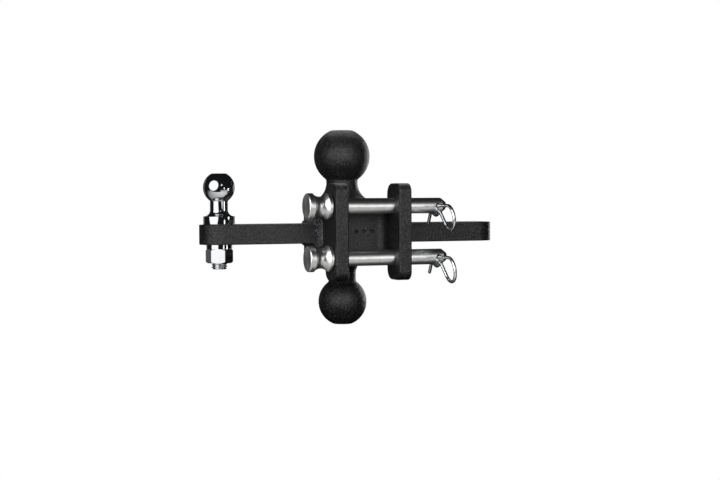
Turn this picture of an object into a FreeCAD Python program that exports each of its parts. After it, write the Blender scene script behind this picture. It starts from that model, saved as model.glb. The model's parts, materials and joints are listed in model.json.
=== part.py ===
import FreeCAD, Part
import math
import os

from FreeCAD import Vector

# Dual tow ball for an adjustable drop hitch: a forged body with a clevis and two tow balls,
# two welded sway-control tabs, two clevis pins with their spring clips, and a sway-control ball.
#
# Frame, in millimetres: the origin is the centre of the clevis web face, midway between the pins.
# +X runs towards the tab with the empty hole, +Y from the clevis into the body, and +Z is up.
INCH = 25.4

# Tow balls and the necks that carry them
UPPER_BALL_D = (2 + 5 / 16) * INCH
LOWER_BALL_D = 2 * INCH
UPPER_BALL_Z = 77.8
LOWER_BALL_Z = 75.1
UPPER_NECK_R = 16.5
LOWER_NECK_R = 14.3
UPPER_FLARE_R = 20.0
LOWER_FLARE_R = 15.0
NECK_FILLET_R = 4.0
BALL_FLAT_SHARE = 0.925
BALL_FLAT_ROUNDING = 3.0

# Forged body
BALL_AXIS_Y = 54.0
BODY_HALF_HEIGHT = 30.0
BODY_HALF_WIDTH = 40.4
BODY_EDGE_R = 3.0
WEB_CORNER_R = 9.0
WEB_EDGE_R = 1.5

# Clevis ears
CLEVIS_GAP = 2.1 * INCH
EAR_HALF_HEIGHT = 48.7
EAR_FRONT_Y = -40.6
EAR_BACK_Y = -6.8
EAR_FRONT_CORNER_R = 9.0
EAR_BACK_CORNER_R = 11.0
EAR_EDGE_R = 1.5

# Three small drilled marks in the web face
MARK_D = 4.2
MARK_DEPTH = 2.6
MARK_POINT_DEG = 118.0
MARK_PITCH = 8.4
MARK_CENTRE_X = 4.0

# Clevis pins. At rest the upper one lies a little drawn out, and the lower one a little home.
PIN_D = 5 / 8 * INCH
PIN_Y = -24.0
PIN_HALF_PITCH = 26.0
PIN_CLEARANCE = 0.09
PIN_TIP_X = 83.5
PIN_REST_SHIFT = 0.4
NOSE_LENGTH = 5.3
NOSE_TIP_R = 4.6
NOSE_ROUNDING = 1.0
NOSE_CONE_DEG = 30.0
KNOB_GAP = 0.6
KNOB_LENGTH = 25.0
KNOB_R = 13.0
KNOB_WAIST_R = 9.6
KNOB_END_ROUNDING = 2.0
KNOB_OUTER_RIM = 6.2
KNOB_INNER_RIM = 3.8
KNOB_INNER_ROUNDING = 1.0

# Spring clips, across the pin at its cross hole, each leaning a little about its straight leg
CLIP_X = 72.6
CLIP_HOLE_D = 5.0
CLIP_WIRE_D = 3.4
CLIP_LEG_BACK = 18.0
CLIP_BOW_Y = -31.3
CLIP_BOW_R = 12.2
CLIP_PIN_GAP = 0.35
CLIP_SHOULDER_R = 3.5
CLIP_SHOULDER_DEG = 226.0
CLIP_LIP_R = 5.0
CLIP_LIP_DEG = 310.0
CLIP_TAIL_DEG = -50.0
CLIP_TAIL_LENGTH = 12.5
CLIP_LEAN_DEG = 8.0

# Sway-control tabs, cut from plate and welded to the body's sides
TAB_THICKNESS = 20.0
TAB_WIDTH = 40.0
TAB_Y = 30.8
TAB_TOP_Z = 8.0
TAB_HOLE_X = 5.5 * INCH
TAB_HOLE_D = 16.7
TAB_EDGE_R = 0.8
WELD_TAB_LEG = 6.8
WELD_BELLY_SHARE = 0.38
WELD_BELLY_KEEP = 0.77
WELD_SIDE_LEG = 4.5
WELD_FRONT_LEG = 11.0
WELD_REAR_LEG = 2.9
WELD_TOE = 0.3

# Sway-control ball with its stud, lock washer and nut
SWAY_BALL_D = 1.25 * INCH
SWAY_BALL_HEIGHT = 37.0
SWAY_FLAT_SHARE = 0.89
SWAY_FLAT_ROUNDING = 1.5
SWAY_NECK_R = 9.0
SWAY_NECK_FILLET_R = 1.5
SWAY_COLLAR_R = 15.75
SWAY_COLLAR_HEIGHT = 8.3
SWAY_SKIRT_R = 6.2
STUD_D = 5 / 8 * INCH
STUD_CHAMFER = 1.2
STUD_SHOW = 6.2
WASHER_R = 12.9
WASHER_BORE_R = 8.3
WASHER_THICKNESS = 4.4
WASHER_SPLIT = 1.6
WASHER_SPLIT_TILT_DEG = 25.0
WASHER_SPLIT_DEG = -55.0
NUT_FLATS = 15 / 16 * INCH
NUT_HEIGHT = 14.2
NUT_TURN_DEG = -21.0
NUT_BORE_CLEARANCE = 0.05
NUT_CORNER_DROP = 1.4

EAR_INNER_X = CLEVIS_GAP / 2
EAR_THICKNESS = BODY_HALF_WIDTH - EAR_INNER_X
PIN_R = PIN_D / 2
STUD_R = STUD_D / 2

# Closest that two points, or the ends of an edge across one axis, count as level
SAME_POINT = 1e-6
LEVEL = 0.01


def polar(centre, radius, degrees):
    """A point of a section drawn in (u, 0, v), at this angle from +u towards +v."""
    angle = math.radians(degrees)
    return centre + Vector(radius * math.cos(angle), 0, radius * math.sin(angle))


def arc(centre, radius, start, end):
    """An arc of such a section, from one angle to another."""
    middle = polar(centre, radius, (start + end) / 2)
    return Part.Arc(polar(centre, radius, start), middle, polar(centre, radius, end)).toShape()


def joined(edges):
    """The edges in order, with a straight edge across each gap between two of them."""
    chain = []
    for edge in edges:
        start = edge.firstVertex(True).Point
        if chain and chain[-1].lastVertex(True).Point.distanceToPoint(start) > SAME_POINT:
            chain.append(Part.makeLine(chain[-1].lastVertex(True).Point, start))
        chain.append(edge)
    return chain


def turned(edges):
    """A solid of revolution about Z: u is the radius, and the ends of the chain lie on the axis."""
    chain = joined(edges)
    start = chain[0].firstVertex(True).Point
    end = chain[-1].lastVertex(True).Point
    wire = Part.Wire(chain + [Part.makeLine(end, start)])
    return Part.Face(wire).revolve(Vector(0, 0, 0), Vector(0, 0, 1), 360)


def straight(u1, v1, u2, v2):
    return Part.makeLine(Vector(u1, 0, v1), Vector(u2, 0, v2))


def moved(shape, x, y, z):
    shape.translate(Vector(x, y, z))
    return shape


def mirrored_x(shape):
    return shape.mirror(Vector(0, 0, 0), Vector(1, 0, 0))


def ball_outline(ball_r, centre_v, neck_r, fillet_r, flat_share, rounding):
    """A ball on a neck, up from the neck: concave fillet, ball, rounded edge and flat top."""
    centre = Vector(0, 0, centre_v)
    reach = neck_r + fillet_r
    drop = math.sqrt((ball_r + fillet_r) ** 2 - reach ** 2)
    fillet_centre = Vector(reach, 0, centre_v - drop)
    fillet_end = 180 - math.degrees(math.atan2(drop, reach))
    flat_v = flat_share * ball_r
    edge_u = math.sqrt((ball_r - rounding) ** 2 - (flat_v - rounding) ** 2)
    edge_centre = Vector(edge_u, 0, centre_v + flat_v - rounding)
    edge_start = math.degrees(math.atan2(flat_v - rounding, edge_u))
    return [
        arc(fillet_centre, fillet_r, 180, fillet_end),
        arc(centre, ball_r, fillet_end - 180, edge_start),
        arc(edge_centre, rounding, edge_start, 90),
        straight(edge_u, centre_v + flat_v, 0, centre_v + flat_v),
    ]


def tow_ball(ball_d, centre_z, neck_r, flare_r):
    """A tow ball with its neck and the flare that spreads into the top of the body."""
    root_v = BODY_HALF_HEIGHT - BODY_EDGE_R
    flare_centre = Vector(neck_r + flare_r, 0, BODY_HALF_HEIGHT + flare_r)
    outline = [
        straight(0, root_v, neck_r + flare_r, root_v),
        arc(flare_centre, flare_r, 270, 180),
    ]
    outline += ball_outline(
        ball_d / 2, centre_z, neck_r, NECK_FILLET_R, BALL_FLAT_SHARE, BALL_FLAT_ROUNDING
    )
    return moved(turned(outline), 0, BALL_AXIS_Y, 0)


def ear():
    """The +X ear: a plate with rounded corners and softened edges."""
    low = -EAR_HALF_HEIGHT
    high = EAR_HALF_HEIGHT
    front = EAR_FRONT_CORNER_R
    back = EAR_BACK_CORNER_R
    outline = joined([
        arc(Vector(EAR_FRONT_Y + front, 0, low + front), front, 180, 270),
        arc(Vector(EAR_BACK_Y - back, 0, low + back), back, 270, 360),
        arc(Vector(EAR_BACK_Y - back, 0, high - back), back, 0, 90),
        arc(Vector(EAR_FRONT_Y + front, 0, high - front), front, 90, 180),
    ])
    closing = Part.makeLine(outline[-1].lastVertex(True).Point, outline[0].firstVertex(True).Point)
    plate = Part.Face(Part.Wire(outline + [closing])).extrude(Vector(0, -EAR_THICKNESS, 0))
    rims = [e for e in plate.Edges if e.BoundBox.YLength < LEVEL]
    plate = plate.makeFillet(EAR_EDGE_R, rims)
    plate.rotate(Vector(0, 0, 0), Vector(0, 0, 1), 90)
    return moved(plate, EAR_INNER_X - plate.BoundBox.XMin, EAR_FRONT_Y - plate.BoundBox.YMin, 0)


def body_block():
    """The middle of the body: a D in plan, with the clevis web as its front face."""
    half = BODY_HALF_WIDTH
    inner = EAR_INNER_X
    radius = WEB_CORNER_R
    diagonal = radius * math.sqrt(0.5)
    z = -BODY_HALF_HEIGHT

    def at(x, y):
        return Vector(x, y, z)

    def web_corner(side):
        centre_x = side * (inner - radius)
        middle = at(centre_x + side * diagonal, -radius + diagonal)
        return Part.Arc(at(side * inner, -radius), middle, at(centre_x, 0)).toShape()

    rear = Part.Arc(at(half, BALL_AXIS_Y), at(0, BALL_AXIS_Y + half), at(-half, BALL_AXIS_Y))
    edges = [
        web_corner(1),
        Part.makeLine(at(inner - radius, 0), at(radius - inner, 0)),
        web_corner(-1),
        Part.makeLine(at(-inner, -radius), at(-half, -radius)),
        Part.makeLine(at(-half, -radius), at(-half, BALL_AXIS_Y)),
        rear.toShape(),
        Part.makeLine(at(half, BALL_AXIS_Y), at(half, -radius)),
        Part.makeLine(at(half, -radius), at(inner, -radius)),
    ]
    wire = Part.Wire(Part.__sortEdges__(edges))
    block = Part.Face(wire).extrude(Vector(0, 0, 2 * BODY_HALF_HEIGHT))
    level = [e for e in block.Edges if e.BoundBox.ZLength < LEVEL]
    outer = [e for e in level if e.BoundBox.YMax > BALL_AXIS_Y - 1]
    block = block.makeFillet(BODY_EDGE_R, outer)
    level = [e for e in block.Edges if e.BoundBox.ZLength < LEVEL]
    web = [e for e in level if e.BoundBox.YMax < 1 and e.BoundBox.YMax > -1]
    return block.makeFillet(WEB_EDGE_R, web)


def cylinder_along(radius, start, direction, length):
    return Part.makeCylinder(radius, length, start, direction)


def drilled_mark(x):
    """The hole of one mark in the web face: its straight wall, then the drill's point."""
    inward = Vector(0, 1, 0)
    radius = MARK_D / 2
    point_length = radius / math.tan(math.radians(MARK_POINT_DEG / 2))
    wall = cylinder_along(radius, Vector(x, -1, 0), inward, 1 + MARK_DEPTH)
    return wall.fuse(Part.makeCone(radius, 0, point_length, Vector(x, MARK_DEPTH, 0), inward))


def ball_mount_body():
    """The one-piece forging: block, two ears and two tow balls, bored for the clevis pins."""
    right_ear = ear()
    upper = tow_ball(UPPER_BALL_D, UPPER_BALL_Z, UPPER_NECK_R, UPPER_FLARE_R)
    lower = tow_ball(LOWER_BALL_D, LOWER_BALL_Z, LOWER_NECK_R, LOWER_FLARE_R)
    lower = lower.mirror(Vector(0, 0, 0), Vector(0, 0, 1))
    body = body_block().fuse([right_ear, mirrored_x(right_ear), upper, lower])
    along = Vector(1, 0, 0)
    for z in (PIN_HALF_PITCH, -PIN_HALF_PITCH):
        start = Vector(-BODY_HALF_WIDTH - 1, PIN_Y, z)
        bore_r = PIN_R + PIN_CLEARANCE
        body = body.cut(cylinder_along(bore_r, start, along, 2 * BODY_HALF_WIDTH + 2))
    for step in (-1, 0, 1):
        body = body.cut(drilled_mark(MARK_CENTRE_X + step * MARK_PITCH))
    return body.removeSplitter()


def sway_tab():
    """The +X tab: plate with a half-round end and one hole."""
    half = TAB_WIDTH / 2
    bottom_z = TAB_TOP_Z - TAB_THICKNESS
    bar_length = TAB_HOLE_X - BODY_HALF_WIDTH
    corner = Vector(BODY_HALF_WIDTH, TAB_Y - half, bottom_z)
    bar = Part.makeBox(bar_length, TAB_WIDTH, TAB_THICKNESS, corner)
    hole_foot = Vector(TAB_HOLE_X, TAB_Y, bottom_z)
    end = cylinder_along(half, hole_foot, Vector(0, 0, 1), TAB_THICKNESS)
    plate = bar.fuse(end).removeSplitter()
    level = [e for e in plate.Edges if e.BoundBox.ZLength < LEVEL]
    outline = [e for e in level if e.BoundBox.XMax > BODY_HALF_WIDTH + 1]
    plate = plate.makeFillet(TAB_EDGE_R, outline)
    return plate.cut(cylinder_along(TAB_HOLE_D / 2, hole_foot, Vector(0, 0, 1), TAB_THICKNESS))


def weld_section(x, front, rear, side):
    """A rectangle round the tab at this X, standing out from it by these amounts."""
    half = TAB_WIDTH / 2
    y1 = TAB_Y - half - front
    y2 = TAB_Y + half + rear
    z1 = TAB_TOP_Z - TAB_THICKNESS - side
    z2 = TAB_TOP_Z + side
    return Part.makePolygon([
        Vector(x, y1, z1), Vector(x, y2, z1), Vector(x, y2, z2), Vector(x, y1, z2), Vector(x, y1, z1)
    ])


def tab_weld(tab):
    """The fillet weld all round the +X tab where it meets the body."""
    keep = WELD_BELLY_KEEP
    sections = [
        weld_section(BODY_HALF_WIDTH, WELD_FRONT_LEG, WELD_REAR_LEG, WELD_SIDE_LEG),
        weld_section(
            BODY_HALF_WIDTH + WELD_BELLY_SHARE * WELD_TAB_LEG,
            keep * WELD_FRONT_LEG,
            keep * WELD_REAR_LEG,
            keep * WELD_SIDE_LEG,
        ),
        weld_section(BODY_HALF_WIDTH + WELD_TAB_LEG, WELD_TOE, WELD_TOE, WELD_TOE),
    ]
    return Part.makeLoft(sections, True, True).cut(tab)


def clevis_pin():
    """A pin along X at height zero: spool-shaped knob, shaft, tapered nose and cross hole."""
    inner_x = -BODY_HALF_WIDTH - KNOB_GAP
    outer_x = inner_x - KNOB_LENGTH
    groove_start = outer_x + KNOB_OUTER_RIM
    groove_end = inner_x - KNOB_INNER_RIM
    half_groove = (groove_end - groove_start) / 2
    depth = KNOB_R - KNOB_WAIST_R
    groove_r = (half_groove ** 2 + depth ** 2) / (2 * depth)
    swing = math.degrees(math.asin(half_groove / groove_r))
    groove_centre = Vector(KNOB_WAIST_R + groove_r, 0, (groove_start + groove_end) / 2)
    end_r = KNOB_R - KNOB_END_ROUNDING
    inner_r = KNOB_R - KNOB_INNER_ROUNDING
    nose_x = PIN_TIP_X - NOSE_LENGTH
    nose_centre = Vector(NOSE_TIP_R - NOSE_ROUNDING, 0, PIN_TIP_X - NOSE_ROUNDING)
    outline = [
        straight(0, outer_x, end_r, outer_x),
        arc(Vector(end_r, 0, outer_x + KNOB_END_ROUNDING), KNOB_END_ROUNDING, -90, 0),
        arc(groove_centre, groove_r, 180 + swing, 180 - swing),
        arc(Vector(inner_r, 0, inner_x - KNOB_INNER_ROUNDING), KNOB_INNER_ROUNDING, 0, 90),
        straight(PIN_R, inner_x, PIN_R, nose_x),
        arc(nose_centre, NOSE_ROUNDING, NOSE_CONE_DEG, 90),
        straight(NOSE_TIP_R - NOSE_ROUNDING, PIN_TIP_X, 0, PIN_TIP_X),
    ]
    pin = turned(outline)
    pin.rotate(Vector(0, 0, 0), Vector(0, 1, 0), 90)
    hole = cylinder_along(CLIP_HOLE_D / 2, Vector(CLIP_X, -PIN_D, 0), Vector(0, 1, 0), 2 * PIN_D)
    return moved(pin.cut(hole), 0, PIN_Y, 0)


def tangent_angle(from_centre, from_r, to_centre, to_r):
    """Where a straight run leaves one circle to cross over to the far side of another."""
    gap = to_centre - from_centre
    bearing = math.degrees(math.atan2(gap.z, gap.x))
    return bearing - math.degrees(math.acos((from_r + to_r) / gap.Length))


def clip_path():
    """The wire's centre line about the pin's axis: leg, bow, shoulder, hook under the pin, tail."""
    pin_centre = Vector(0, 0, 0)
    hook_r = PIN_R + CLIP_WIRE_D / 2 + CLIP_PIN_GAP
    bow_centre = Vector(CLIP_BOW_Y, 0, -CLIP_BOW_R)
    shoulder_centre = polar(pin_centre, hook_r + CLIP_SHOULDER_R, CLIP_SHOULDER_DEG)
    leave = tangent_angle(bow_centre, CLIP_BOW_R, shoulder_centre, CLIP_SHOULDER_R)
    lip_centre = polar(pin_centre, hook_r + CLIP_LIP_R, CLIP_LIP_DEG)
    tail_start = polar(lip_centre, CLIP_LIP_R, 90 + CLIP_TAIL_DEG)
    tail_end = polar(tail_start, CLIP_TAIL_LENGTH, CLIP_TAIL_DEG)
    chain = joined([
        straight(CLIP_LEG_BACK, 0, CLIP_BOW_Y, 0),
        arc(bow_centre, CLIP_BOW_R, 90, 360 + leave),
        arc(shoulder_centre, CLIP_SHOULDER_R, 180 + leave, CLIP_SHOULDER_DEG - 180),
        arc(pin_centre, hook_r, CLIP_SHOULDER_DEG, CLIP_LIP_DEG),
        arc(lip_centre, CLIP_LIP_R, CLIP_LIP_DEG - 180, 90 + CLIP_TAIL_DEG),
        Part.makeLine(tail_start, tail_end),
    ])
    return Part.Wire(chain)


def spring_clip():
    """One length of spring wire on that path, for a pin at height zero."""
    path = clip_path()
    start = Vector(CLIP_LEG_BACK, 0, 0)
    section = Part.Wire(Part.makeCircle(CLIP_WIRE_D / 2, start, Vector(1, 0, 0)))
    wire = path.makePipeShell([section], True, False)
    wire.rotate(Vector(0, 0, 0), Vector(0, 0, 1), 90)
    wire.rotate(Vector(0, 0, 0), Vector(0, 1, 0), -CLIP_LEAN_DEG)
    return moved(wire, CLIP_X, PIN_Y, 0)


def sway_ball():
    """The small ball with its collar and stud, on the -X tab."""
    stud_end = -(TAB_THICKNESS + WASHER_THICKNESS + NUT_HEIGHT + STUD_SHOW)
    skirt_centre = Vector(SWAY_NECK_R + SWAY_SKIRT_R, 0, SWAY_COLLAR_HEIGHT + SWAY_SKIRT_R)
    outline = [
        straight(0, stud_end, STUD_R - STUD_CHAMFER, stud_end),
        straight(STUD_R, stud_end + STUD_CHAMFER, STUD_R, 0),
        straight(SWAY_COLLAR_R, 0, SWAY_COLLAR_R, SWAY_COLLAR_HEIGHT),
        arc(skirt_centre, SWAY_SKIRT_R, 270, 180),
    ]
    outline += ball_outline(
        SWAY_BALL_D / 2,
        SWAY_BALL_HEIGHT,
        SWAY_NECK_R,
        SWAY_NECK_FILLET_R,
        SWAY_FLAT_SHARE,
        SWAY_FLAT_ROUNDING,
    )
    return moved(turned(outline), -TAB_HOLE_X, TAB_Y, TAB_TOP_Z)


def lock_washer():
    """A split spring washer, pressed flat under the tab."""
    ring = Part.makeCylinder(WASHER_R, WASHER_THICKNESS)
    ring = ring.cut(Part.makeCylinder(WASHER_BORE_R, WASHER_THICKNESS))
    reach = 2 * WASHER_R
    corner = Vector(0, -WASHER_SPLIT / 2, -WASHER_R)
    split = Part.makeBox(reach, WASHER_SPLIT, 2 * WASHER_R, corner)
    middle = Vector(0, 0, WASHER_THICKNESS / 2)
    split.translate(middle)
    split.rotate(middle, Vector(1, 0, 0), WASHER_SPLIT_TILT_DEG)
    split.rotate(middle, Vector(0, 0, 1), WASHER_SPLIT_DEG)
    ring = ring.cut(split)
    return moved(ring, -TAB_HOLE_X, TAB_Y, TAB_TOP_Z - TAB_THICKNESS - WASHER_THICKNESS)


def hex_nut():
    """The nut under the lock washer, with its corners bevelled at both faces."""
    corner_r = NUT_FLATS / 2 / math.cos(math.radians(30))
    corners = []
    for step in range(7):
        angle = math.radians(60 * step + NUT_TURN_DEG)
        corners.append(Vector(corner_r * math.cos(angle), corner_r * math.sin(angle), 0))
    prism = Part.Face(Part.makePolygon(corners)).extrude(Vector(0, 0, NUT_HEIGHT))
    face_r = NUT_FLATS / 2
    bevel = turned([
        straight(0, 0, face_r, 0),
        straight(corner_r, NUT_CORNER_DROP, corner_r, NUT_HEIGHT - NUT_CORNER_DROP),
        straight(face_r, NUT_HEIGHT, 0, NUT_HEIGHT),
    ])
    bore = Part.makeCylinder(STUD_R + NUT_BORE_CLEARANCE, NUT_HEIGHT)
    nut = prism.common(bevel).cut(bore)
    bottom_z = TAB_TOP_Z - TAB_THICKNESS - WASHER_THICKNESS - NUT_HEIGHT
    return moved(nut, -TAB_HOLE_X, TAB_Y, bottom_z)


def build():
    """Every sub-part by the name of its node."""
    right_tab = sway_tab()
    right_weld = tab_weld(right_tab)
    parts = {
        "ball_mount_body": ball_mount_body(),
        "left_sway_tab": mirrored_x(right_tab),
        "right_sway_tab": right_tab,
        "left_tab_weld": mirrored_x(right_weld),
        "right_tab_weld": right_weld,
        "sway_ball": sway_ball(),
        "lock_washer": lock_washer(),
        "hex_nut": hex_nut(),
    }
    for place, side in (("upper", 1), ("lower", -1)):
        rest = (-side * PIN_REST_SHIFT, 0, side * PIN_HALF_PITCH)
        parts[place + "_pin"] = moved(clevis_pin(), *rest)
        parts[place + "_pin_clip"] = moved(spring_clip(), *rest)
    return parts


os.makedirs("parts", exist_ok=True)
for name, shape in build().items():
    assert shape.isValid(), name
    print(f"{name:18s} solids {len(shape.Solids)}  volume {shape.Volume:10.1f} mm3")
    shape.exportStep(f"parts/{name}.step")
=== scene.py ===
import json
import math

import bmesh
import bpy
from mathutils import Matrix, Vector, noise

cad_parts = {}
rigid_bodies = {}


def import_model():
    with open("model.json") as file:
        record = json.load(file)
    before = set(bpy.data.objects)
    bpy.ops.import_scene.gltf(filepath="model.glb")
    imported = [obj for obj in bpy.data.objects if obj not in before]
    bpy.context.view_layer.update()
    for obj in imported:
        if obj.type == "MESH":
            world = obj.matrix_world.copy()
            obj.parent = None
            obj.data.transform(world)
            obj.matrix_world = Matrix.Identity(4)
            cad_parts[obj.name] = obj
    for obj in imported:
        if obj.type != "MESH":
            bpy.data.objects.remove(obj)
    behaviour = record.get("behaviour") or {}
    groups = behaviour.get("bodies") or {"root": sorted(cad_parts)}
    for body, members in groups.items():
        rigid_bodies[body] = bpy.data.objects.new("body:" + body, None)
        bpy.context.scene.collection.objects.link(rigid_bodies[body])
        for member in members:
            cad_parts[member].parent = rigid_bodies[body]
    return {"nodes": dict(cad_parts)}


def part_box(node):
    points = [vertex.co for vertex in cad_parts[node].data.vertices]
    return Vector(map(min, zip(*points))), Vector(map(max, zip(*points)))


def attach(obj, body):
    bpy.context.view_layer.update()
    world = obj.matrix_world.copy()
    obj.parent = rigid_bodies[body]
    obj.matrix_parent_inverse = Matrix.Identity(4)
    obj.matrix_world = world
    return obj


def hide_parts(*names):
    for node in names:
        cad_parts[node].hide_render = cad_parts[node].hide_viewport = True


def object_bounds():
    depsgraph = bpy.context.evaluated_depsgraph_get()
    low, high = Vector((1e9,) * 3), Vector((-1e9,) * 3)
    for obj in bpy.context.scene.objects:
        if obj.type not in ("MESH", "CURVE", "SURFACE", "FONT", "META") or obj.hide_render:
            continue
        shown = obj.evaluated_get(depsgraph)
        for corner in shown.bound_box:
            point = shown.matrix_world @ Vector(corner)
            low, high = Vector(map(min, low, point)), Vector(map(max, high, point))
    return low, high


for leftover in list(bpy.data.objects):
    bpy.data.objects.remove(leftover)
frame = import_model()
cad_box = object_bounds()

MM = 0.001
INCH = 25.4 * MM
BODY = "hitch"

# Camera: the point on its axis at the object's depth, and how it is turned
LOOK_AT = Vector((17.5, 47.1, -10.4)) * MM
CAMERA_DISTANCE = 1.4362
CAMERA_YAW = math.radians(20.8)
CAMERA_PITCH = math.radians(1.83)
CAMERA_ROLL = math.radians(0.257)
LENS_MM = 68.06
SENSOR_MM = 36.0
SIGHT_RANGE = 50

# Weld beads round the tabs
WELD_STEP = 0.35 * MM
WELD_CORNER_R = 1.5 * MM
WELD_CORNER_STEPS = 12
WELD_ROWS = 22
WELD_SIDE_LEG = 4.4 * MM
WELD_FRONT_LEG = 11.0 * MM
WELD_REAR_LEG = 2.8 * MM
WELD_SINK = 0.4 * MM
WELD_CROWN = 1.1 * MM

# Their ripples: how far each bows, in pitches, how sharp it is, and how soon it rises from a toe
RIPPLE_PITCH = 3.4 * MM
RIPPLE_DEPTH = 0.42 * MM
RIPPLE_BOW = 0.45
RIPPLE_POWER = 1.6
RIPPLE_RISE = 3

# Their toes' wander on the body and on the tab: how far, how often per metre, and its seeds
TOE_WANDER = 0.55 * MM
TAB_TOE_SHARE = 1.6
BODY_TOE_RATE = 160
TAB_TOE_RATE = 190
BODY_TOE_SEED = 3.1
TAB_TOE_SEED = 7.7

# Stud thread, 5/8-11, with flat roots and crests
THREAD_PITCH = INCH / 11
THREAD_DEPTH = 0.61 * THREAD_PITCH
THREAD_ROOT_SHARE = 0.12
THREAD_FLANK_SHARE = 0.76
STUD_R = 5 / 16 * INCH
THREAD_CHAMFER = 1.5 * MM
THREAD_ROWS_PER_TURN = 22
TURN_STEPS = 144

# Sway-control ball, as the CAD part has it
SWAY_BALL_R = 0.625 * INCH
SWAY_NECK_R = 9.0 * MM
SWAY_NECK_FILLET_R = 1.5 * MM
SWAY_COLLAR_R = 15.75 * MM
SWAY_COLLAR_HEIGHT = 8.3 * MM
SWAY_SKIRT_R = 6.2 * MM
SWAY_BALL_HEIGHT = 37.0 * MM
SWAY_FLAT_SHARE = 0.89
SWAY_FLAT_ROUNDING = 1.5 * MM

# Its collar's edges, which are rounded here, and where the skirt runs into the upper one
COLLAR_EDGE_R = 0.6 * MM
SWAY_SKIRT_END_DEG = 262

# The middle part of a noise's values, which a roughness or a colour is spread over
NOISE_LOW = 0.3
NOISE_HIGH = 0.7

# Floor, surround and darkness
FLOOR_DROP = 0.25
FLOOR_HALF = 8
SURROUND_R = 12
WORLD_COLOUR = (0.008, 0.0084, 0.009)

# Lit table, below and in front
TABLE_DROP = 0.26
# The outline's edge from (0.0, -0.07) to (1.0, -0.75) is a painted shadow: the body's shadow on the
# table, cut out of the glowing card.
TABLE_OUTLINE = [
    (-1.58, -0.09), (-0.15, -0.63), (-0.15, -1.3), (1.0, -1.3),
    (1.0, -0.75), (0.0, -0.07), (-0.1, 0.3), (-1.6, 0.6),
]
TABLE_BRIGHT_X = -0.15
TABLE_BRIGHT_Y = -0.5
TABLE_FADE_X = 2.0
TABLE_FADE_Y = 1.0
TABLE_DIM = 0.05
TABLE_BRIGHT = 0.78

# How strongly the softboxes light the chrome, and the pins and clips
PLATED_LIGHT = 0.34
TURNED_LIGHT = 1.0


def smoothed(x):
    """0 to 1 with flat ends."""
    x = min(max(x, 0.0), 1.0)
    return x * x * (3 - 2 * x)


# ---------------------------------------------------------------- materials


class Shader:
    """A node material with one Principled shader, and short ways to add nodes to it."""

    def __init__(self, name):
        self.material = bpy.data.materials.new(name)
        self.material.use_nodes = True
        self.tree = self.material.node_tree
        self.main = self.tree.nodes["Principled BSDF"]
        self.position = self.tree.nodes.new("ShaderNodeTexCoord").outputs["Object"]

    def add(self, kind, **settings):
        """A new node of this kind."""
        node = self.tree.nodes.new("ShaderNode" + kind)
        for key, value in settings.items():
            setattr(node, key, value)
        return node

    def link(self, source, target):
        self.tree.links.new(source, target)

    def scaled(self, x, y, z):
        """Positions scaled along each axis, so that a small number draws a noise out that way."""
        mapping = self.add("Mapping")
        mapping.inputs["Scale"].default_value = (x, y, z)
        self.link(self.position, mapping.inputs["Vector"])
        return mapping.outputs["Vector"]

    def noise(self, size_mm, detail=2.0, roughness=0.5, position=None):
        """Noise with features about this size."""
        node = self.add("TexNoise")
        node.inputs["Scale"].default_value = 1 / (size_mm * MM)
        node.inputs["Detail"].default_value = detail
        node.inputs["Roughness"].default_value = roughness
        self.link(position or self.position, node.inputs["Vector"])
        return node.outputs["Fac"]

    def spread(self, value, low, high):
        """The noise's middle values, spread from low to high."""
        node = self.add("MapRange")
        node.inputs["From Min"].default_value = NOISE_LOW
        node.inputs["From Max"].default_value = NOISE_HIGH
        node.inputs["To Min"].default_value = low
        node.inputs["To Max"].default_value = high
        self.link(value, node.inputs["Value"])
        return node.outputs["Result"]

    def tint(self, value, dark, light, start=NOISE_LOW, end=NOISE_HIGH):
        """A colour that goes from dark, where the noise is at start, to light at end."""
        node = self.add("ValToRGB")
        node.color_ramp.elements[0].position = start
        node.color_ramp.elements[0].color = (*dark, 1)
        node.color_ramp.elements[1].position = end
        node.color_ramp.elements[1].color = (*light, 1)
        self.link(value, node.inputs["Fac"])
        return node.outputs["Color"]

    def bump(self, height, depth_mm, strength, under=None):
        """A bump of this depth, on top of the one under it."""
        node = self.add("Bump")
        node.inputs["Strength"].default_value = strength
        node.inputs["Distance"].default_value = depth_mm * MM
        self.link(height, node.inputs["Height"])
        if under is not None:
            self.link(under, node.inputs["Normal"])
        return node.outputs["Normal"]

    def set(self, socket, value):
        self.main.inputs[socket].default_value = value

    def drive(self, socket, output):
        self.link(output, self.main.inputs[socket])


def powder_coat(name, fleck):
    """Satin black powder coat: a pebbled grain over a slower unevenness, with flecks this pale."""
    coat = Shader(name)
    pebble = coat.noise(size_mm=2.1, detail=3.0, roughness=0.6)
    grain = coat.noise(size_mm=0.7, detail=1.0)
    cloud = coat.noise(size_mm=16.0, detail=2.0)
    speckle = coat.noise(size_mm=1.5, detail=3.0, roughness=0.7)
    black = (0.002, 0.0022, 0.0026)
    pale = (fleck, fleck, 1.1 * fleck)
    coat.drive("Base Color", coat.tint(speckle, dark=black, light=pale, start=0.48, end=0.70))
    coat.drive("Roughness", coat.spread(pebble, low=0.34, high=0.56))
    normal = coat.bump(cloud, depth_mm=0.40, strength=0.3)
    normal = coat.bump(pebble, depth_mm=0.60, strength=1.0, under=normal)
    normal = coat.bump(grain, depth_mm=0.16, strength=1.0, under=normal)
    coat.drive("Normal", normal)
    coat.set("Specular IOR Level", 0.55)
    return coat.material


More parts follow.
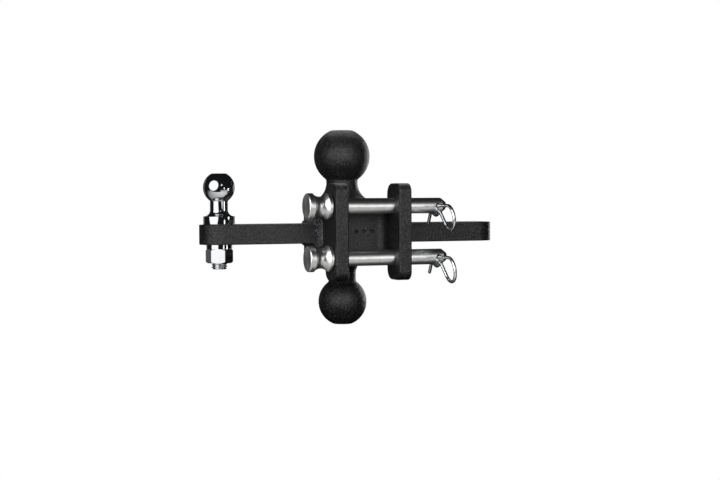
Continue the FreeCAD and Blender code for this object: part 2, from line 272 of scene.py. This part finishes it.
def chrome_plate():
    """Bright chrome over polished steel, with faint handling haze."""
    chrome = Shader("bright_chrome_plate")
    haze = chrome.noise(size_mm=9.0, detail=4.0, roughness=0.6)
    wave = chrome.noise(size_mm=5.0, detail=1.0)
    chrome.drive("Base Color", chrome.tint(haze, dark=(0.80, 0.81, 0.83), light=(0.88, 0.885, 0.90)))
    chrome.drive("Roughness", chrome.spread(haze, low=0.05, high=0.11))
    chrome.drive("Normal", chrome.bump(wave, depth_mm=0.01, strength=0.15))
    chrome.set("Metallic", 1.0)
    return chrome.material


def turned_steel():
    """Stainless turned on a lathe: fine rings round the X axis, coarser feed marks, and patina."""
    steel = Shader("turned_stainless_steel")
    rings = steel.noise(size_mm=0.12, detail=2.0, position=steel.scaled(1, 0.004, 0.004))
    feed = steel.noise(size_mm=0.9, detail=1.0, position=steel.scaled(1, 0.02, 0.02))
    patina = steel.noise(size_mm=6.0, detail=4.0, roughness=0.65)
    steel.drive("Base Color", steel.tint(patina, dark=(0.68, 0.68, 0.67), light=(0.80, 0.80, 0.79)))
    steel.drive("Roughness", steel.spread(rings, low=0.26, high=0.36))
    normal = steel.bump(feed, depth_mm=0.006, strength=0.3)
    normal = steel.bump(rings, depth_mm=0.003, strength=0.5, under=normal)
    steel.drive("Normal", normal)
    tangent = steel.add("Tangent", direction_type="RADIAL", axis="X")
    steel.drive("Tangent", tangent.outputs["Tangent"])
    steel.set("Metallic", 1.0)
    steel.set("Anisotropic", 0.6)
    return steel.material


def zinc_wire():
    """Bright zinc-plated spring wire, with faint draw marks and duller patches."""
    zinc = Shader("zinc_plated_spring_wire")
    patches = zinc.noise(size_mm=3.0, detail=3.0)
    draw = zinc.noise(size_mm=0.35, detail=2.0)
    zinc.drive("Base Color", zinc.tint(patches, dark=(0.72, 0.74, 0.77), light=(0.88, 0.90, 0.93)))
    zinc.drive("Roughness", zinc.spread(patches, low=0.14, high=0.28))
    zinc.drive("Normal", zinc.bump(draw, depth_mm=0.012, strength=0.5))
    zinc.set("Metallic", 1.0)
    return zinc.material


def dress(obj, material):
    """Puts the material on every slot of the object."""
    slots = obj.material_slots
    if not slots:
        obj.data.materials.append(material)
    for slot in slots:
        slot.material = material


# ---------------------------------------------------------------- meshes


def mesh_object(name, points, faces, sharp_deg=40):
    """A smooth-shaded object, with sharp edges where its faces turn by more than sharp_deg."""
    mesh = bpy.data.meshes.new(name)
    mesh.from_pydata([tuple(point) for point in points], [], faces)
    work = bmesh.new()
    work.from_mesh(mesh)
    bmesh.ops.recalc_face_normals(work, faces=work.faces)
    work.to_mesh(mesh)
    work.free()
    mesh.polygons.foreach_set("use_smooth", [True] * len(mesh.polygons))
    mesh.set_sharp_from_angle(angle=math.radians(sharp_deg))
    obj = bpy.data.objects.new(name, mesh)
    bpy.context.scene.collection.objects.link(obj)
    return obj


def lathe(name, rows, centre, sharp_deg):
    """A turned solid. Each row is (height, radius at a turn from 0 to 1); the ends are closed."""
    points = []
    for height, radius in rows:
        for step in range(TURN_STEPS):
            angle = 2 * math.pi * step / TURN_STEPS
            r = radius(step / TURN_STEPS)
            points.append(centre + Vector((r * math.cos(angle), r * math.sin(angle), height)))
    faces = []
    for row in range(len(rows) - 1):
        for step in range(TURN_STEPS):
            after = (step + 1) % TURN_STEPS
            here = row * TURN_STEPS
            there = here + TURN_STEPS
            faces.append((here + step, here + after, there + after, there + step))
    for row in (0, len(rows) - 1):
        pole = len(points)
        points.append(centre + Vector((0, 0, rows[row][0])))
        ring = row * TURN_STEPS
        for step in range(TURN_STEPS):
            faces.append((pole, ring + step, ring + (step + 1) % TURN_STEPS))
    return mesh_object(name, points, faces, sharp_deg)


def arc_points(centre_r, centre_z, radius, start_deg, end_deg, steps):
    """Points (radius, height) along an arc, both ends among them."""
    points = []
    for step in range(steps + 1):
        angle = math.radians(start_deg + (end_deg - start_deg) * step / steps)
        points.append((centre_r + radius * math.cos(angle), centre_z + radius * math.sin(angle)))
    return points


def steady(radius):
    """The same radius all round a row."""
    return lambda turn: radius


def sway_ball_outline():
    """Radius and height from the flat top down to the collar's underside, above the tab."""
    ball_r = SWAY_BALL_R
    ball_z = SWAY_BALL_HEIGHT
    flat = SWAY_FLAT_SHARE * ball_r
    edge_r = math.sqrt((ball_r - SWAY_FLAT_ROUNDING) ** 2 - (flat - SWAY_FLAT_ROUNDING) ** 2)
    edge_deg = math.degrees(math.atan2(flat - SWAY_FLAT_ROUNDING, edge_r))
    edge_z = ball_z + flat - SWAY_FLAT_ROUNDING
    fillet_r = SWAY_NECK_R + SWAY_NECK_FILLET_R
    drop = math.sqrt((ball_r + SWAY_NECK_FILLET_R) ** 2 - fillet_r ** 2)
    fillet_z = ball_z - drop
    end_deg = -math.degrees(math.atan2(drop, fillet_r))
    skirt_r = SWAY_NECK_R + SWAY_SKIRT_R
    skirt_z = SWAY_COLLAR_HEIGHT + SWAY_SKIRT_R
    collar_r = SWAY_COLLAR_R - COLLAR_EDGE_R
    collar_z = SWAY_COLLAR_HEIGHT - COLLAR_EDGE_R
    outline = arc_points(edge_r, edge_z, SWAY_FLAT_ROUNDING, 90, edge_deg, steps=8)
    outline += arc_points(0, ball_z, ball_r, edge_deg, end_deg, steps=64)[1:]
    outline += arc_points(fillet_r, fillet_z, SWAY_NECK_FILLET_R, 180 + end_deg, 180, steps=6)[1:]
    outline += arc_points(skirt_r, skirt_z, SWAY_SKIRT_R, 180, SWAY_SKIRT_END_DEG, steps=24)
    outline += arc_points(collar_r, collar_z, COLLAR_EDGE_R, 90, 0, steps=6)
    outline += arc_points(collar_r, COLLAR_EDGE_R, COLLAR_EDGE_R, 0, -90, steps=6)
    return outline


def thread_profile(share):
    """Height of a thread's flank, 0 at the root and 1 at the crest, over one pitch."""
    rise = abs(2 * (share % 1.0) - 1)
    return smoothed((rise - THREAD_ROOT_SHARE) / THREAD_FLANK_SHARE)


def threaded_row(height, end_height):
    """The stud's radius round one row: a right-hand thread, run out by the end chamfer."""

    def radius(turn):
        crest = thread_profile(height / THREAD_PITCH - turn)
        thread = STUD_R - THREAD_DEPTH * (1 - crest)
        chamfer = STUD_R - THREAD_CHAMFER + (height - end_height)
        return min(thread, chamfer)

    return radius


def sway_ball_piece():
    """Ball, neck, collar and stud in one, with the thread cut where it stands out of the nut."""
    low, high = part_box("sway_ball")
    tab_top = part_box("left_sway_tab")[1].z
    nut_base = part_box("hex_nut")[0].z
    centre = Vector(((low.x + high.x) / 2, (low.y + high.y) / 2, tab_top))
    rows = [(z, steady(r)) for r, z in sway_ball_outline()]
    rows.append((0.0, steady(STUD_R)))
    thread_top = nut_base + THREAD_PITCH - tab_top
    end = low.z - tab_top
    rows.append((thread_top, steady(STUD_R)))
    count = math.ceil((thread_top - end) / THREAD_PITCH * THREAD_ROWS_PER_TURN)
    for step in range(1, count + 1):
        height = thread_top + (end - thread_top) * step / count
        rows.append((height, threaded_row(height, end)))
    return lathe("sway_ball_with_thread", rows, centre, sharp_deg=50)


def weld_path(low, high):
    """Points round a tab's section, as (point, outward direction, leg on the body)."""
    y1, y2 = low.y + WELD_CORNER_R, high.y - WELD_CORNER_R
    z1, z2 = low.z + WELD_CORNER_R, high.z - WELD_CORNER_R
    runs = [
        ((y1, z2), (y2, z2), 90),
        ((y2, z2), (y2, z1), 0),
        ((y2, z1), (y1, z1), -90),
        ((y1, z1), (y1, z2), -180),
    ]
    path = []
    for (ya, za), (yb, zb), facing in runs:
        count = max(2, round(math.hypot(yb - ya, zb - za) / WELD_STEP))
        for step in range(count):
            share = step / count
            path.append((ya + (yb - ya) * share, za + (zb - za) * share, facing))
        for step in range(WELD_CORNER_STEPS):
            path.append((yb, zb, facing - 90 * step / WELD_CORNER_STEPS))
    points = []
    for y, z, facing in path:
        out = Vector((0, math.cos(math.radians(facing)), math.sin(math.radians(facing))))
        front = smoothed(max(0.0, -out.y))
        rear = smoothed(max(0.0, out.y))
        leg = WELD_SIDE_LEG + front * (WELD_FRONT_LEG - WELD_SIDE_LEG)
        leg += rear * (WELD_REAR_LEG - WELD_SIDE_LEG)
        points.append((Vector((0, y, z)) + out * WELD_CORNER_R, out, leg))
    return points


def wander(base, rate, seed):
    """-1 to 1, changing smoothly round the tab."""
    return noise.noise(Vector((base.y * rate, base.z * rate, seed)))


def weld_slice(base, out, body_leg, tab_leg, body_x, side, length):
    """One slice of a bead: its crowned and rippled face, then three points sunk in the metal."""

    def at(along):
        return Vector((body_x + side * along, base.y, base.z))

    slope = math.atan2(body_leg, tab_leg)
    points = []
    for row in range(WELD_ROWS):
        share = row / (WELD_ROWS - 1)
        crown = 4 * share * (1 - share)
        phase = length / RIPPLE_PITCH + RIPPLE_BOW * crown
        ripple = (phase % 1.0) ** RIPPLE_POWER
        lift = crown * WELD_CROWN + RIPPLE_DEPTH * ripple * min(1.0, RIPPLE_RISE * crown)
        along = tab_leg * share + lift * math.sin(slope)
        r = body_leg * (1 - share) + lift * math.cos(slope)
        points.append(at(along) + out * r)
    points.append(at(tab_leg) - out * WELD_SINK)
    points.append(at(-WELD_SINK) - out * WELD_SINK)
    points.append(at(-WELD_SINK) + out * body_leg)
    return points


def weld_piece(hand, side):
    """A laid bead round one tab, with wandering toes. It grows from the body along side * X."""
    weld_low, weld_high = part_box(hand + "_tab_weld")
    body_x = weld_low.x if side > 0 else weld_high.x
    path = weld_path(*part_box(hand + "_sway_tab"))
    length = 0.0
    slices = []
    for index, (base, out, leg) in enumerate(path):
        if index:
            last_base, last_out, last_leg = path[index - 1]
            stride = base + out * leg * 0.5 - last_base - last_out * last_leg * 0.5
            length += stride.length
        body_wander = wander(base, BODY_TOE_RATE, BODY_TOE_SEED * side)
        tab_wander = wander(base, TAB_TOE_RATE, TAB_TOE_SEED * side)
        body_leg = leg + TOE_WANDER * body_wander * (1 + leg / WELD_FRONT_LEG)
        tab_leg = weld_high.x - weld_low.x + TOE_WANDER * TAB_TOE_SHARE * tab_wander - TOE_WANDER
        slices.append(weld_slice(base, out, body_leg, tab_leg, body_x, side, length))
    ring = len(slices[0])
    faces = []
    for index in range(len(slices)):
        here = index * ring
        there = ((index + 1) % len(slices)) * ring
        for row in range(ring):
            after = (row + 1) % ring
            faces.append((here + row, here + after, there + after, there + row))
    points = [point for one_slice in slices for point in one_slice]
    return mesh_object(hand + "_weld_bead", points, faces, sharp_deg=60)


# ---------------------------------------------------------------- the object

forged_coat = powder_coat("black_powder_coat_on_forging", fleck=0.066)
plate_coat = powder_coat("black_powder_coat_on_plate", fleck=0.045)
# The weld's flecks are far paler than the other coats' flecks. This is painted light: it lightens the
# bead's facets, which the lamps leave darker than the flats.
weld_coat_painted_light = powder_coat("black_powder_coat_on_weld_with_painted_light", fleck=0.30)
chrome = chrome_plate()
steel = turned_steel()
zinc = zinc_wire()

FINISHES = {
    "ball_mount_body": forged_coat,
    "left_sway_tab": plate_coat,
    "right_sway_tab": plate_coat,
    "lock_washer": chrome,
    "hex_nut": chrome,
    "upper_pin": steel,
    "lower_pin": steel,
    "upper_pin_clip": zinc,
    "lower_pin_clip": zinc,
}
for node_name, material in FINISHES.items():
    dress(frame["nodes"][node_name], material)

sway_ball = sway_ball_piece()
dress(sway_ball, chrome)
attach(sway_ball, BODY)
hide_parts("sway_ball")

beads = []
for hand, side in (("left", -1), ("right", 1)):
    bead = weld_piece(hand, side)
    dress(bead, weld_coat_painted_light)
    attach(bead, BODY)
    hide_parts(hand + "_tab_weld")
    beads.append(bead)


# ---------------------------------------------------------------- studio

camera_forward = Vector((
    math.sin(CAMERA_YAW) * math.cos(CAMERA_PITCH),
    math.cos(CAMERA_YAW) * math.cos(CAMERA_PITCH),
    -math.sin(CAMERA_PITCH),
))
camera_right = Vector((math.cos(CAMERA_YAW), -math.sin(CAMERA_YAW), 0))
camera_up = camera_right.cross(camera_forward)


def add_camera():
    lens = bpy.data.cameras.new("studio_camera")
    lens.lens = LENS_MM
    lens.sensor_width = SENSOR_MM
    lens.clip_end = SIGHT_RANGE
    camera = bpy.data.objects.new("studio_camera", lens)
    basis = Matrix((camera_right, camera_up, -camera_forward)).transposed().to_4x4()
    position = Matrix.Translation(LOOK_AT - camera_forward * CAMERA_DISTANCE)
    camera.matrix_world = position @ basis @ Matrix.Rotation(-CAMERA_ROLL, 4, "Z")
    bpy.context.scene.collection.objects.link(camera)
    bpy.context.scene.camera = camera


def glowing_material(name):
    """A material that only glows, in white, with its node tree and its emission node."""
    material = bpy.data.materials.new(name)
    material.use_nodes = True
    tree = material.node_tree
    tree.nodes.clear()
    glow = tree.nodes.new("ShaderNodeEmission")
    out = tree.nodes.new("ShaderNodeOutputMaterial")
    tree.links.new(glow.outputs["Emission"], out.inputs["Surface"])
    return material, tree, glow


def stage_white():
    """Even white for the floor and the surround."""
    material, _, glow = glowing_material("stage_white")
    glow.inputs["Strength"].default_value = 1.0
    return material


def table_glow(height):
    """The table's light: brightest at one place, and dimmer away from it."""
    material, tree, glow = glowing_material("table_glow")
    position = tree.nodes.new("ShaderNodeTexCoord")
    shift = tree.nodes.new("ShaderNodeMapping")
    shift.vector_type = "TEXTURE"
    shift.inputs["Location"].default_value = (TABLE_BRIGHT_X, TABLE_BRIGHT_Y, height)
    shift.inputs["Scale"].default_value = (TABLE_FADE_X, TABLE_FADE_Y, 1)
    fade = tree.nodes.new("ShaderNodeTexGradient")
    fade.gradient_type = "SPHERICAL"
    level = tree.nodes.new("ShaderNodeMapRange")
    level.inputs["To Min"].default_value = TABLE_DIM
    level.inputs["To Max"].default_value = TABLE_BRIGHT
    tree.links.new(position.outputs["Object"], shift.inputs["Vector"])
    tree.links.new(shift.outputs["Vector"], fade.inputs["Vector"])
    tree.links.new(fade.outputs["Fac"], level.inputs["Value"])
    tree.links.new(level.outputs["Result"], glow.inputs["Strength"])
    return material


def see_only(obj, **kinds):
    """The object shows to these kinds of ray and no others."""
    for kind in ("camera", "diffuse", "glossy", "transmission", "shadow"):
        setattr(obj, "visible_" + kind, kinds.get(kind, False))


def stage_mesh(name, points, faces, material):
    obj = mesh_object(name, points, faces)
    dress(obj, material)
    return obj


def add_backdrop():
    """A white floor and a white surround that only the camera sees."""
    white = stage_white()
    half = FLOOR_HALF
    z = cad_box[0].z - FLOOR_DROP
    corners = [(-half, -half, z), (half, -half, z), (half, half, z), (-half, half, z)]
    floor = stage_mesh("floor", corners, [(0, 1, 2, 3)], white)
    see_only(floor, camera=True)
    ball = bmesh.new()
    bmesh.ops.create_uvsphere(ball, u_segments=48, v_segments=24, radius=SURROUND_R)
    mesh = bpy.data.meshes.new("surround")
    ball.to_mesh(mesh)
    ball.free()
    surround = bpy.data.objects.new("surround", mesh)
    bpy.context.scene.collection.objects.link(surround)
    dress(surround, white)
    see_only(surround, camera=True)


def add_table_card():
    """The lit table in front and below, seen only in the shiny parts."""
    z = cad_box[0].z - TABLE_DROP
    points = [(x, y, z) for x, y in TABLE_OUTLINE]
    card = stage_mesh("table_card", points, [tuple(range(len(points)))], table_glow(z))
    see_only(card, glossy=True)
    return card


def light_only(light, pieces):
    """The light falls on these pieces and no others."""
    lit = bpy.data.collections.new(light.name + "_pieces")
    for piece in pieces:
        lit.objects.link(piece)
    light.light_linking.receiver_collection = lit


def add_light(name, across_deg, up_deg, distance, half_width, radiance, height_share=1.0, pieces=None):
    """
    A soft light seen from the object across_deg to the camera's right and up_deg above it.
    It is round, or a rectangle where height_share isn't 1, and it lights these pieces or all.
    """
    across = math.radians(across_deg)
    up = math.radians(up_deg)
    level = -camera_forward * math.cos(across) + camera_right * math.sin(across)
    direction = level * math.cos(up) + camera_up * math.sin(up)
    lamp = bpy.data.lights.new(name, "AREA")
    lamp.shape = "ELLIPSE" if height_share == 1.0 else "RECTANGLE"
    lamp.size = 2 * half_width
    lamp.size_y = 2 * half_width * height_share
    filled = math.pi / 4 if lamp.shape == "ELLIPSE" else 1.0
    area = lamp.size * lamp.size_y * filled
    lamp.energy = radiance * math.pi * area
    light = bpy.data.objects.new(name, lamp)
    light.location = LOOK_AT + direction * distance
    light.rotation_euler = direction.to_track_quat("Z", "Y").to_euler()
    bpy.context.scene.collection.objects.link(light)
    light.visible_camera = False
    if pieces is not None:
        light_only(light, pieces)


def nodes_in(*materials):
    """The CAD nodes that have one of these materials."""
    return [frame["nodes"][name] for name, finish in FINISHES.items() if finish in materials]


def add_softboxes(group, pieces, strength):
    """The key light and the two small lights to the right, for shiny pieces."""
    add_light(group + "_key_softbox", across_deg=-35.5, up_deg=13, distance=2.3, half_width=1.50,
              radiance=3.4 * strength, pieces=pieces)
    add_light(group + "_right_softbox", across_deg=41, up_deg=-5, distance=1.6, half_width=0.15,
              radiance=4.0 * strength, pieces=pieces)
    add_light(group + "_top_softbox", across_deg=21, up_deg=18, distance=1.6, half_width=0.16,
              radiance=3.0 * strength, pieces=pieces)


def add_world():
    world = bpy.data.worlds.new("dark_studio")
    world.use_nodes = True
    world.node_tree.nodes["Background"].inputs["Color"].default_value = (*WORLD_COLOUR, 1)
    bpy.context.scene.world = world


def add_lights():
    """The chrome, the steel and wire, and the coated pieces have lights of their own; two light all."""
    coated = beads + nodes_in(forged_coat, plate_coat)
    turned = nodes_in(steel, zinc)
    plated = [sway_ball] + nodes_in(chrome)
    light_only(add_table_card(), turned + plated)
    add_softboxes("plated", plated, PLATED_LIGHT)
    add_softboxes("turned", turned, TURNED_LIGHT)
    add_light("pin_softbox", across_deg=43, up_deg=9, distance=1.6, half_width=0.42,
              radiance=1.5, height_share=0.55, pieces=turned)
    add_light("front_softbox", across_deg=-5, up_deg=12, distance=1.5, half_width=1.95,
              radiance=2.6, height_share=0.25, pieces=coated)
    add_light("rim_panel", across_deg=146, up_deg=6, distance=1.2, half_width=0.22,
              radiance=3.6, height_share=1.6, pieces=coated)
    add_light("back_right_card", across_deg=148, up_deg=3, distance=1.2, half_width=0.35,
              radiance=0.35, height_share=0.6)
    add_light("back_left_card", across_deg=-140, up_deg=5, distance=1.2, half_width=0.55,
              radiance=0.08, height_share=0.8)
    add_light("back_softbox", across_deg=180, up_deg=58, distance=1.8, half_width=0.8,
              radiance=1.9, pieces=coated)


add_camera()
add_backdrop()
add_world()
add_lights()
bpy.context.scene.view_settings.view_transform = "Standard"
